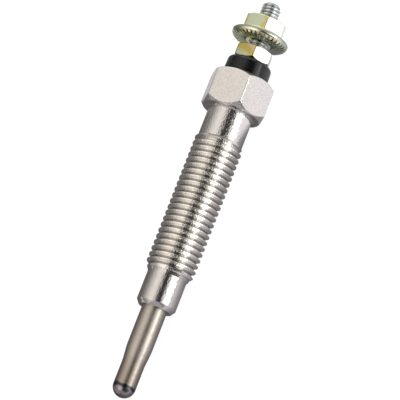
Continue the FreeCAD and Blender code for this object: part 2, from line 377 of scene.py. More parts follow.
def cut(piece, tool):
    """Cuts a piece with a tool, which is used up."""
    select_only(piece)
    boolean = piece.modifiers.new("Cut", "BOOLEAN")
    boolean.operation = "DIFFERENCE"
    boolean.solver = "EXACT"
    boolean.object = tool
    bpy.ops.object.modifier_apply(modifier=boolean.name)
    bpy.data.objects.remove(tool, do_unlink=True)
    if not piece.data.polygons:
        raise RuntimeError("nothing is left of " + piece.name)


def corner_reach(flats, corner):
    """How far from the axis a corner's rounding is centred, and the angle from it to the flat's start."""
    to_centre = (flats / 2 - corner) / math.cos(math.pi / 6)
    return to_centre, math.atan2(corner / 2, to_centre + corner * math.cos(math.pi / 6))


def hexagon_reach(angle, flats, corner):
    """Distance from the axis to a hexagon with rounded corners; the angle is from one of its corners."""
    off = abs((angle + math.pi / 6) % (math.pi / 3) - math.pi / 6)
    to_centre, edge = corner_reach(flats, corner)
    if off < edge:
        return to_centre * math.cos(off) + math.sqrt(corner ** 2 - (to_centre * math.sin(off)) ** 2)
    return flats / 2 / math.cos(math.pi / 6 - off)


def hexagon_angles(flats, corner):
    """Where the columns of a hexagonal piece stand: close at the corners, wide apart on the flats."""
    edge = corner_reach(flats, corner)[1]
    one = [-edge, -edge / 2, 0, edge / 2, edge]
    flat = math.pi / 3 - 2 * edge
    one += [edge + flat * step / FLAT_COLUMNS for step in range(1, FLAT_COLUMNS)]
    return [side * math.pi / 3 + angle for side in range(6) for angle in one]


def hexagonal(name, flats, turn, corner, outline):
    """A turned piece pressed to a hexagon. outline(reach) gives the column of points for each distance."""
    angles = hexagon_angles(flats, corner)
    plain = outline(flats / math.sqrt(3))
    piece = turned(name, plain, len(angles))
    for vertex in piece.data.vertices:
        spot = (vertex.co.xy.length / MM, vertex.co.z / MM)
        turn_share = math.atan2(vertex.co.y, vertex.co.x) / math.tau % 1
        angle = angles[round(turn_share * len(angles)) % len(angles)]
        row = min(range(len(plain)), key=lambda index: math.dist(plain[index], spot))
        radius, height = outline(hexagon_reach(angle, flats, corner))[row]
        angle += turn + math.pi / 6
        vertex.co = (radius * math.cos(angle) * MM, radius * math.sin(angle) * MM, height * MM)
    tidy_mesh(piece)
    mark_flats(piece, turn)
    return piece


def mark_flats(piece, turn):
    """Stores on each face whether it lies on a flat of the hexagon."""
    values = []
    for face in piece.data.polygons:
        off = (math.atan2(face.normal.y, face.normal.x) - turn + math.pi / 6) % (math.pi / 3) - math.pi / 6
        values.append(1.0 if abs(face.normal.z) < 0.01 and abs(off) < 0.02 else 0.0)
    flats = piece.data.attributes.new("flat", "FLOAT", "FACE")
    flats.data.foreach_set("value", values)


def open_block(block):
    """Takes away the inner wall of the spanner hexagon, where the shank and the bore go on."""
    select_only(block)
    bpy.ops.object.mode_set(mode="EDIT")
    bpy.ops.mesh.select_all(action="DESELECT")
    bpy.ops.mesh.select_mode(type="FACE")
    mesh = bmesh.from_edit_mesh(block.data)
    for face in mesh.faces:
        inside = face.calc_center_median().xy.length < (SHANK_R + SHANK_FLARE) * MM
        face.select_set(inside and abs(face.normal.z) < 0.9)
    bmesh.update_edit_mesh(block.data)
    bpy.ops.mesh.delete(type="FACE")
    bpy.ops.object.mode_set(mode="OBJECT")


def nut_chamfer(flats, reach):
    """The radius where a nut's chamfer starts, and its drop at a distance from the axis."""
    chamfer_r = flats / 2 * NUT_CHAMFER_SHARE
    return chamfer_r, (reach - chamfer_r) * math.tan(NUT_CHAMFER_ANGLE)


def nut_head(flats, reach, top, edge):
    """The upper end of a nut's column: its corner, chamfer, face and countersink."""
    chamfer_r, drop = nut_chamfer(flats, reach)
    return [
        (reach, top - drop, 2 * edge),
        (chamfer_r, top, edge / 2),
        (STUD_R + NUT_COUNTERSINK, top),
        (STUD_R, top - NUT_COUNTERSINK),
    ]


def put_away(piece, cad_node, material):
    """Lays a finished piece down, smooths it, gives it its material and lets it stand for its CAD node."""
    piece.matrix_world = laid_down()
    select_only(piece)
    bpy.ops.object.transform_apply(location=True, rotation=True, scale=True)
    bpy.ops.object.shade_smooth_by_angle(angle=SMOOTH_ANGLE)
    piece.data.materials.clear()
    piece.data.materials.append(material)
    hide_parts(cad_node)
    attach(piece, "root")


def node(tree, kind, inputs=None, **settings):
    """Adds a shader node, sets it, and fills its sockets with values or links."""
    made = tree.nodes.new("ShaderNode" + kind)
    for key, value in settings.items():
        setattr(made, key, value)
    for key, value in (inputs or {}).items():
        if isinstance(value, bpy.types.NodeSocket):
            tree.links.new(value, made.inputs[key])
        else:
            made.inputs[key].default_value = value
    return made


def maths(operation, first, second=0.0):
    """The result of one sum, in the tree of its first value."""
    return node(first.id_data, "Math", {0: first, 1: second}, operation=operation).outputs[0]


def times(first, second):
    """The product of two values."""
    return maths("MULTIPLY", first, second)


def spread(value, low, high, to_low=0, to_high=1):
    """Moves a value smoothly from one range to another."""
    inputs = {0: value, 1: low, 2: high, 3: to_low, 4: to_high}
    return node(value.id_data, "MapRange", inputs, interpolation_type="SMOOTHSTEP").outputs[0]


def swing(angle, low, high, to_low=0, to_high=1):
    """Moves an angle from a range given in degrees to another range."""
    return spread(angle, math.radians(low), math.radians(high), to_low, to_high)


def blend(mask, first, second):
    """Mixes two colours by a mask."""
    return node(mask.id_data, "Mix", {0: mask, 6: first, 7: second}, data_type="RGBA").outputs[2]


def mean(mask, first, second):
    """Mixes two values by a mask."""
    return node(mask.id_data, "Mix", {0: mask, 2: first, 3: second}).outputs[0]


def noise(position, scale, detail, **more):
    """Drifting noise round a half."""
    inputs = {"Vector": position, "Scale": scale, "Detail": detail, **more}
    return node(position.id_data, "TexNoise", inputs).outputs[0]


def moved(position, socket, value):
    """Coordinates moved or scaled, as the socket says."""
    return node(position.id_data, "Mapping", {"Vector": position, socket: value}).outputs[0]


def scaled(tint, by):
    """A colour made brighter or darker."""
    return (*(Vector(tint[:3]) * by), 1)


def new_group(name, inputs, outputs):
    """An empty node group with named sockets. Gives the tree and its input and output nodes."""
    tree = bpy.data.node_groups.new(name, "ShaderNodeTree")
    for label, kind, value in inputs:
        socket = tree.interface.new_socket(name=label, in_out="INPUT", socket_type="NodeSocket" + kind)
        if value is not None:
            socket.default_value = value
    for label, kind in outputs:
        tree.interface.new_socket(name=label, in_out="OUTPUT", socket_type="NodeSocket" + kind)
    return tree, tree.nodes.new("NodeGroupInput"), tree.nodes.new("NodeGroupOutput")


def group(name, inputs):
    """Places a node group in the tree of its first input."""
    tree = next(iter(inputs.values())).id_data
    return node(tree, "Group", inputs, node_tree=bpy.data.node_groups[name]).outputs


def make_axis_group():
    """Where a point lies: its height above the tip and distance from the axis in mm, and its angle."""
    tree, start, end = new_group(
        "Place on the plug",
        [("Position", "Vector", None)],
        [("Height", "Float"), ("Radius", "Float"), ("Angle", "Float")],
    )
    upright = laid_down().inverted()
    mapping = node(tree, "Mapping", {
        "Vector": start.outputs[0], "Scale": (1 / MM, 1 / MM, 1 / MM), "Rotation": upright.to_euler("XYZ"),
        "Location": upright.to_translation() / MM,
    })
    parts = node(tree, "SeparateXYZ", {0: mapping.outputs[0]}).outputs
    flat = node(tree, "CombineXYZ", {0: parts[0], 1: parts[1]}).outputs[0]
    radius = node(tree, "VectorMath", {0: flat}, operation="LENGTH").outputs["Value"]
    for value, socket in zip((parts[2], radius, maths("ARCTAN2", parts[1], parts[0])), end.inputs):
        tree.links.new(value, socket)


def make_marks_group():
    """Fine rings left by turning or polishing, from the height above the tip."""
    tree, start, end = new_group(
        "Turning marks",
        [("Height", "Float", 0.0), ("Angle", "Float", 0.0), ("Per mm", "Float", 8.0)],
        [("Marks", "Float")],
    )
    wander = times(maths("SINE", start.outputs["Angle"]), 0.03)
    height = times(maths("ADD", start.outputs["Height"], wander), start.outputs["Per mm"])
    fine = node(tree, "TexNoise", {"W": height, "Scale": 1.0, "Detail": 3.0}, noise_dimensions="1D")
    tree.links.new(fine.outputs[0], end.inputs[0])


def make_grain_group():
    """Grain of a plated or moulded surface: a height for bump and a slow mask."""
    tree, start, end = new_group(
        "Surface grain",
        [("Position", "Vector", None), ("Per mm", "Float", 4.0)],
        [("Grain", "Float"), ("Cloud", "Float")],
    )
    scale = times(start.outputs["Per mm"], 1 / MM)
    position = start.outputs["Position"]
    tree.links.new(noise(position, scale, 3.0, Roughness=0.55), end.inputs["Grain"])
    tree.links.new(noise(position, times(scale, 0.12), 2.0), end.inputs["Cloud"])


def make_zinc_group():
    """The drifting tints of yellow passivated zinc."""
    colours = [(tint, "Color", None) for tint in ("Gold", "Green", "Grey", "Rose")]
    tree, start, end = new_group(
        "Passivated zinc",
        [("Position", "Vector", None), ("Per mm", "Float", 0.3), ("Lean", "Float", 0.0)] + colours,
        [("Color", "Color")],
    )
    given = start.outputs
    scale = times(given["Per mm"], 1 / MM)
    film = maths("ADD", noise(given["Position"], scale, 1.5, Distortion=0.6), given["Lean"])
    tint = blend(spread(film, 0.36, 0.50), given["Grey"], given["Green"])
    tint = blend(spread(film, 0.46, 0.58), tint, given["Gold"])
    tint = blend(spread(film, 0.60, 0.70, 0, 0.9), tint, given["Rose"])
    tree.links.new(tint, end.inputs["Color"])


def make_groups():
    """Builds the effects that materials share, once."""
    if "Surface grain" not in bpy.data.node_groups:
        make_axis_group()
        make_marks_group()
        make_grain_group()
        make_zinc_group()


def start_material(name):
    """A material with nothing set. Gives it, its tree and the object coordinates."""
    material = bpy.data.materials.new(name)
    material.use_nodes = True
    tree = material.node_tree
    return material, tree, node(tree, "TexCoord").outputs["Object"]


def new_material(name, per_mm):
    """A grained material: it, its shader, the object coordinates, the fine grain and the slow cloud."""
    make_groups()
    material, tree, position = start_material(name)
    grain, cloud = group("Surface grain", {"Position": position, "Per mm": per_mm})
    return material, tree.nodes["Principled BSDF"], position, grain, cloud


def set_surface(shader, tint, rough, metallic=1.0):
    """Feeds a colour and a roughness to the shader."""
    links = shader.id_data.links
    links.new(tint, shader.inputs["Base Color"])
    links.new(rough, shader.inputs["Roughness"])
    shader.inputs["Metallic"].default_value = metallic


def raise_bump(shader, height, strength, millimetres):
    """Feeds a height to the shader's normal, with its reach in mm."""
    tree = shader.id_data
    bump = node(tree, "Bump", {"Height": height, "Strength": strength, "Distance": millimetres * MM})
    tree.links.new(bump.outputs[0], shader.inputs["Normal"])


def nickel_material(finish):
    """Bright nickel plate with orange peel, satin on the flats, painted light brightening the thread and
    painted shade darkening the thread's roots.
    """
    material, shader, position, grain, cloud = new_material("nickel_plate", 3.5)
    height, radius, angle = group("Place on the plug", {"Position": position})
    marks = group("Turning marks", {"Height": height, "Angle": angle, "Per mm": 7.0})[0]
    flats = node(material.node_tree, "Attribute", attribute_name="flat").outputs["Fac"]
    specks = times(spread(grain, 0.35, 0.65, 0.0, 0.9), flats)
    dulled = maths("MAXIMUM", spread(cloud, 0.35, 0.65, 0.0, 0.4), specks)
    plate = blend(dulled, finish.nickel, finish.nickel_dim)
    within = times(
        spread(height, PILOT_TOP + 0.3, PILOT_TOP + 0.9),
        spread(height, THREAD_FULL_TOP - 1.2, THREAD_FULL_TOP - 0.2, 1, 0),
    )
    # Painted light: the thread gets a brighter plate, standing in for light that its flanks catch
    plate = blend(within, plate, finish.nickel_thread_painted_light)
    # Painted shade: the plate darkens towards the thread's roots, in place of the shade deep in its grooves
    depth = spread(radius, THREAD_R - 0.655, THREAD_R - 0.59, 0.72, 0.0)
    tint = blend(times(within, depth), plate, finish.thread_root_painted_shade)
    rough = spread(grain, 0.3, 0.7, 0.10, 0.16)
    satin = spread(grain, 0.3, 0.7, 0.13, 0.19)
    set_surface(shader, tint, mean(flats, rough, satin))
    drawn = moved(position, "Scale", (0.6, 1.0, 1.0))
    peel = noise(drawn, 3.4 / MM, 0.8, Roughness=0.4)
    calm = times(mean(flats, 1.0, 0.3), spread(within, 0, 1, 1, 1.1))
    calm = times(calm, spread(height, PILOT_TOP, PILOT_TOP + 1, 0.6, 1.0))
    fine = times(maths("ADD", grain, marks), 0.06)
    raise_bump(shader, maths("ADD", times(peel, calm), fine), 1.0, 0.05)
    return material


def tube_material(finish):
    """Satin heat-proof steel, brushed round its axis and tinted by heat at the tip."""
    material, shader, position, grain, cloud = new_material("heater_tube_steel", 2.2)
    height, _, angle = group("Place on the plug", {"Position": position})
    marks = group("Turning marks", {"Height": height, "Angle": angle, "Per mm": 9.0})[0]
    tint = blend(spread(marks, 0.3, 0.7), finish.tube, finish.tube_dim)
    edge = maths("ADD", height, spread(cloud, 0.3, 0.7, -0.25, 0.25))
    tint = blend(spread(edge, 3.0, 10.5, 0.9, 0.0), tint, finish.tube_tint)
    tint = blend(spread(edge, 2.3, 2.8, 1.0, 0.0), tint, finish.tube_ring)
    tint = blend(spread(edge, 1.45, 2.05, 1.0, 0.0), tint, finish.tube_tip)
    rough = spread(grain, 0.3, 0.7, 0.28, 0.40)
    rough = times(rough, spread(height, 1.8, 3.0, 0.55, 1.0))
    set_surface(shader, tint, rough)
    raise_bump(shader, maths("ADD", marks, times(grain, 0.5)), 0.5, 0.02)
    return material


def bush_material(finish):
    """Semi-gloss black phenolic with faint flecks."""
    material, shader, _, grain, cloud = new_material("phenolic_bush", 3.0)
    tint = blend(spread(grain, 0.5, 0.75), finish.bush, finish.bush_pale)
    set_surface(shader, tint, spread(cloud, 0.3, 0.7, 0.16, 0.23), 0.0)
    shader.inputs["Specular IOR Level"].default_value = 0.36
    raise_bump(shader, grain, 0.3, 0.02)
    return material


def zinc_material(finish, name, per_mm, shift, lean, roughness):
    """Yellow passivated zinc: per_mm sets how quickly its tints drift, lean how far they go to gold. A
    painted sheen pales the side facing the white strip, a painted highlight brightens the flange's rim, and
    painted shade darkens one side of the flange and its upright wall.
    """
    material, shader, position, grain, _ = new_material(name, 4.0)
    height, radius, angle = group("Place on the plug", {"Position": position})
    off_flange = maths(
        "MAXIMUM", spread(height, RIM_TOP + 0.3, RIM_TOP + 0.7),
        spread(height, CLAMP_NUT_TOP + 0.2, FLANGE_BOTTOM - 0.4, 1, 0),
    )
    tint = group("Passivated zinc", {
        "Position": moved(position, "Location", Vector(shift) * MM), "Per mm": per_mm,
        "Lean": spread(off_flange, 0, 1, lean - 0.09, lean), "Gold": finish.zinc_gold,
        "Green": finish.zinc_green, "Grey": finish.zinc_grey, "Rose": finish.zinc_rose,
    })["Color"]
    # Painted sheen: off the flange, the side that faces the white strip is paled
    side = times(swing(angle, 18, 34), swing(angle, 125, 150, 1, 0))
    tint = blend(times(side, off_flange), tint, finish.zinc_painted_sheen)
    # Painted highlight: a straw band on the flange's rounded rim, on the arc that faces the light
    rim = times(
        spread(radius, FLANGE_TEETH_R - 0.1, FLANGE_TEETH_R + 0.3),
        spread(height, RIM_BOTTOM + 0.1, RIM_BOTTOM + 0.4, 1, 0),
    )
    painted_highlight_arc = times(swing(angle, -35, -15), swing(angle, 55, 72, 1, 0))
    tint = blend(times(rim, painted_highlight_arc), tint, finish.zinc_rim_painted_highlight)
    # Painted shade: the flange is darkened to teal grey on the side turned towards the white strip
    shaded = times(swing(angle, 60, 78, 0, 0.7), spread(off_flange, 0, 1, 1, 0))
    tint = blend(shaded, tint, finish.zinc_painted_shade)
    # Painted shade on the flange's upright wall, which is also made rougher
    wall = times(
        spread(radius, FLANGE_R - 0.14, FLANGE_R - 0.04),
        spread(height, RIM_BOTTOM + 0.2, RIM_BOTTOM + 0.45),
    )
    tint = blend(times(wall, 0.7), tint, finish.zinc_painted_shade)
    rough = spread(grain, 0.3, 0.7, roughness - 0.05, roughness + 0.06)
    set_surface(shader, tint, maths("ADD", rough, times(wall, 0.45)))
    shader.inputs["Coat Weight"].default_value = 0.25
    shader.inputs["Coat Roughness"].default_value = 0.2
    shader.inputs["Coat IOR"].default_value = 1.9
    raise_bump(shader, grain, 0.5, 0.02)
    return material


def stud_material(finish):
    """Blue-white zinc plate of the stud and rod, with painted shade in the stud's thread roots."""
    material, shader, position, grain, cloud = new_material("stud_zinc", 3.5)
    height, radius = group("Place on the plug", {"Position": position})[:2]
    plate = blend(spread(cloud, 0.35, 0.65), finish.stud, finish.stud_dim)
    # Painted shade: the plate darkens towards the roots of the stud's thread
    roots = times(
        spread(height, BUSH_TOP, BUSH_TOP + 0.5),
        spread(radius, STUD_R - 0.34, STUD_R - 0.20, 0.8, 0.0),
    )
    rough = spread(grain, 0.3, 0.7, 0.24, 0.36)
    set_surface(shader, blend(roots, plate, finish.stud_root_painted_shade), rough)
    raise_bump(shader, grain, 0.3, 0.015)
    return material


def grained_material(name, first, second, low, high, per_mm, metallic, bump):
    """A simple grained finish for the pieces inside."""
    material, shader, _, grain, cloud = new_material(name, per_mm)
    tint = blend(spread(grain, 0.35, 0.65), (*first, 1), (*second, 1))
    set_surface(shader, tint, spread(cloud, 0.3, 0.7, low, high), metallic)
    raise_bump(shader, grain, 0.4, bump)
    return material


class PLUG_OT_housing(bpy.types.Operator):
    """Models the nickel-plated housing with its real thread"""

    bl_idname = "plug.housing"
    bl_label = "Housing"

    def execute(self, context):
        sizes = context.scene.plug_sizes
        steps = sizes.steps
        shank = turned("shank", [
            (SHANK_R, THREAD_TOP), (SHANK_R, HEX_BOTTOM - SHANK_FLARE), (SHANK_R + SHANK_FLARE, HEX_BOTTOM),
        ], steps, closed=False)
        inside = rounded([
            (SEAL_BORE_R + BORE_CHAMFER, HEX_TOP),
            (SEAL_BORE_R, HEX_TOP - BORE_CHAMFER),
            (SEAL_BORE_R, SEAL_BORE_BOTTOM),
            (BORE_R, SEAL_BORE_BOTTOM),
            (BORE_R, TUBE_TOP),
            (TUBE_R, TUBE_TOP),
            (TUBE_R, HOUSING_END),
            (SEAT_R, HOUSING_END, 0.06),
            (PILOT_R, SEAT_TOP, 0.16),
            (PILOT_R, PILOT_TOP),
        ])
        pilot = turned("pilot", inside, steps, closed=False)
        lead_in = (THREAD_R - PILOT_R) / (THREAD_FULL - PILOT_TOP)
        run_out = (THREAD_R - SHANK_R) / (THREAD_TOP - THREAD_FULL_TOP)
        root_r = THREAD_R - sizes.body_depth / MM
        rise = (SHANK_R - root_r) / BODY_THREAD_FADE

        def outer(height):
            lower = PILOT_R + lead_in * (height - PILOT_TOP)
            return min(THREAD_R, lower, SHANK_R + run_out * (THREAD_TOP - height))

        def inner(height):
            left = THREAD_TOP - height
            return SHANK_R - rise * left if left < BODY_THREAD_FADE else 0

        form = (sizes.body_depth, sizes.body_pitch, sizes.body_crest)
        thread = wound(
            "thread", THREAD_R, form, BODY_THREAD_PHASE, PILOT_TOP, THREAD_TOP, steps, outer, inner
        )

        def column(reach):
            run = reach - HEX_CHAMFER_R
            edge = sizes.chamfer_edge / MM
            return rounded([
                (SHANK_R + SHANK_FLARE, HEX_BOTTOM),
                (HEX_CHAMFER_R, HEX_BOTTOM, edge / 2),
                (reach, HEX_BOTTOM + run * math.tan(HEX_LOWER_ANGLE), edge),
                (reach, HEX_TOP - run * math.tan(HEX_UPPER_ANGLE), edge),
                (HEX_CHAMFER_R, HEX_TOP, edge / 2),
                (SEAL_BORE_R + BORE_CHAMFER, HEX_TOP),
            ])

        block = hexagonal("spanner_hexagon", HEX_FLATS, 0, sizes.hexagon_corner / MM, column)
        open_block(block)
        housing = tidy_mesh(merged([pilot, thread, shank, block]))
        housing.name = "housing_body"
        put_away(housing, "housing", nickel_material(context.scene.plug_finish))
        return {"FINISHED"}


class PLUG_OT_heater_tube(bpy.types.Operator):
    """Models the heater tube with its domed end"""

    bl_idname = "plug.heater_tube"
    bl_label = "Heater tube"

    def execute(self, context):
        steps = context.scene.plug_sizes.steps
        tube = turned("heater_tube", rounded([
            (0, 0),
            (TUBE_TIP_R, 0, TUBE_TIP_R - 0.0001, 14),
            (TUBE_TIP_R, SWAGE_BOTTOM, 6.0),
            (TUBE_R, SWAGE_TOP, 8.0),
            (TUBE_R, TUBE_TOP),
            (TUBE_R - TUBE_WALL, TUBE_TOP),
            (TUBE_R - TUBE_WALL, SWAGE_TOP),
            (TUBE_TIP_R - TUBE_WALL, SWAGE_BOTTOM),
            (TUBE_TIP_R - TUBE_WALL, TUBE_FLOOR, 0.2),
            (0, TUBE_FLOOR),
        ]), steps)
        put_away(tube, "heater_sheath", tube_material(context.scene.plug_finish))
        return {"FINISHED"}


class PLUG_OT_electrode(bpy.types.Operator):
    """Models the centre electrode with its threaded stud"""

    bl_idname = "plug.electrode"
    bl_label = "Centre electrode"

    def execute(self, context):
        sizes = context.scene.plug_sizes
        steps = sizes.steps // 2
        thread_bottom = BUSH_TOP + STUD_THREAD_FADE
        rod = turned("rod", [
            (0, SPIGOT_BOTTOM),
            (SPIGOT_R, SPIGOT_BOTTOM),
            (SPIGOT_R, FOOT_BOTTOM),
            (FOOT_R, FOOT_BOTTOM),
            (FOOT_R, ROD_START - FOOT_TAPER),
            (ROD_R, ROD_START),
            (ROD_R, STUD_START),
            (STUD_R, STUD_START + STUD_R - ROD_R),
            (STUD_R, thread_bottom),
        ], steps, closed=False)
        end = turned("stud_end", [(STUD_R - STUD_CHAMFER, STUD_TOP), (0, STUD_TOP)], steps, closed=False)

        def outer(height):
            return min(STUD_R, STUD_R - STUD_CHAMFER + STUD_TOP - height)

        def inner(height):
            return STUD_R - (height - thread_bottom) if height < thread_bottom + STUD_THREAD_FADE else 0

        form = (sizes.stud_depth, sizes.stud_pitch, sizes.stud_crest)
        thread = wound("stud_thread", STUD_R, form, 0, thread_bottom, STUD_TOP, steps, outer, inner)
        electrode = tidy_mesh(merged([rod, thread, end]))
        electrode.name = "centre_pin"
        put_away(electrode, "centre_electrode", stud_material(context.scene.plug_finish))
        return {"FINISHED"}


class PLUG_OT_bush(bpy.types.Operator):
    """Models the moulded insulator bush"""

    bl_idname = "plug.bush"
    bl_label = "Insulator bush"

    def execute(self, context):
        bush = turned("bush", rounded([
            (STUD_R, BUSH_BOTTOM),
            (SEAL_BORE_R, BUSH_BOTTOM),
            (SEAL_BORE_R, HEX_TOP - BORE_CHAMFER),
            (SEAL_BORE_R + BORE_CHAMFER, HEX_TOP),
            (BUSH_R, HEX_TOP, 0.05),
            (BUSH_TOP_R, BUSH_TOP, BUSH_SHOULDER),
            (STUD_R, BUSH_TOP),
        ], 6), context.scene.plug_sizes.steps)
        put_away(bush, "insulator_bush", bush_material(context.scene.plug_finish))
        return {"FINISHED"}


class PLUG_OT_clamp_nut(bpy.types.Operator):
    """Models the small nut that clamps the bush"""

    bl_idname = "plug.clamp_nut"
    bl_label = "Clamp nut"

    def execute(self, context):
        sizes = context.scene.plug_sizes
        edge = sizes.chamfer_edge / MM

        def column(reach):
            chamfer_r, drop = nut_chamfer(CLAMP_NUT_FLATS, reach)
            return rounded([
                (STUD_R, BUSH_TOP),
                (chamfer_r, BUSH_TOP, edge / 2),
                (reach, BUSH_TOP + drop, 2 * edge),
                *nut_head(CLAMP_NUT_FLATS, reach, CLAMP_NUT_TOP, edge),
            ])

        nut = hexagonal("small_nut", CLAMP_NUT_FLATS, CLAMP_NUT_TURN, sizes.nut_corner / MM, column)
        zinc = zinc_material(context.scene.plug_finish, "golden_zinc", 0.18, (2, 5, 3), 0.05, 0.18)
        put_away(nut, "clamp_nut", zinc)
        return {"FINISHED"}


class PLUG_OT_terminal_nut(bpy.types.Operator):
    """Models the terminal nut with its toothed flange"""

    bl_idname = "plug.terminal_nut"
    bl_label = "Terminal nut"

    def execute(self, context):
        sizes = context.scene.plug_sizes
        edge = sizes.chamfer_edge / MM
        rim_edge_r = FLANGE_R - 0.2

        def column(reach):
            return rounded([
                (STUD_R, FLANGE_BOTTOM),
                (FLANGE_TEETH_R, FLANGE_BOTTOM, 0.1),
                (FLANGE_R, RIM_BOTTOM, 0.8, 8),
                (FLANGE_R, RIM_TOP - 0.1, 0.25),
                (rim_edge_r, RIM_TOP, 0.1),
                (reach, RIM_TOP + (rim_edge_r - reach) * math.tan(FLANGE_SLOPE), edge),
                *nut_head(TERMINAL_NUT_FLATS, reach, TERMINAL_NUT_TOP, edge),
            ])

        nut = hexagonal("flange_nut", TERMINAL_NUT_FLATS, TERMINAL_NUT_TURN, sizes.nut_corner / MM, column)
        cut(nut, self.grooves(sizes))
        tidy_mesh(nut)
        zinc = zinc_material(context.scene.plug_finish, "tinted_zinc", 0.3, (0, 0.8, 0), 0.0, 0.15)
        put_away(nut, "terminal_nut", zinc)
        return {"FINISHED"}

    def grooves(self, sizes):
        """One groove between two teeth, copied round the flange."""
        reach = (FLANGE_R + 1 - FLANGE_TEETH_INNER_R) * MM
        bpy.ops.object.select_all(action="DESELECT")
        bpy.ops.mesh.primitive_cube_add(size=1)
        first = named("groove")
        for vertex in first.data.vertices:
            x = FLANGE_TEETH_INNER_R * MM + (vertex.co.x + 0.5) * reach
            y = vertex.co.y * sizes.tooth_width
            low = FLANGE_BOTTOM * MM - sizes.tooth_depth
            high = FLANGE_BOTTOM * MM + (sizes.tooth_depth if vertex.co.y < 0 else 0.02 * MM)
            if vertex.co.x > 0:
                high += (RIM_BOTTOM - FLANGE_BOTTOM) * 0.6 * MM
            vertex.co = (x, y, high if vertex.co.z > 0 else low)
        cutters = [first]
        for step in range(1, sizes.teeth):
            copy = first.copy()
            copy.data = first.data.copy()
            bpy.context.collection.objects.link(copy)
            copy.data.transform(Matrix.Rotation(math.tau * step / sizes.teeth, 4, "Z"))
            cutters.append(copy)
        return merged(cutters)


class PLUG_OT_inner_finish(bpy.types.Operator):
    """Gives the coils, the packing and the rubber pieces inside their materials"""

    bl_idname = "plug.inner_finish"
    bl_label = "Inner pieces"

    def execute(self, context):
        # Two colours, the lowest and highest roughness, the grain per mm, how metallic, and the bump in mm
        finishes = {
            "heating_coil": (
                "heating_wire", (0.36, 0.34, 0.32), (0.24, 0.22, 0.21), 0.35, 0.5, 6.0, 1.0, 0.01),
            "regulating_coil": (
                "regulating_wire", (0.58, 0.57, 0.52), (0.46, 0.45, 0.41), 0.25, 0.38, 6.0, 1.0, 0.01),
            "insulating_powder": (
                "packed_powder", (0.88, 0.86, 0.81), (0.78, 0.76, 0.70), 0.85, 0.95, 5.0, 0.0, 0.03),
            "sheath_seal": (
                "seal_rubber", (0.38, 0.10, 0.06), (0.31, 0.075, 0.05), 0.55, 0.7, 4.0, 0.0, 0.02),
            "o_ring": ("ring_rubber", (0.03, 0.03, 0.03), (0.045, 0.045, 0.045), 0.5, 0.65, 4.0, 0.0, 0.02),
        }
        for name, values in finishes.items():
            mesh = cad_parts[name].data
            mesh.materials.clear()
            mesh.materials.append(grained_material(*values))
        return {"FINISHED"}


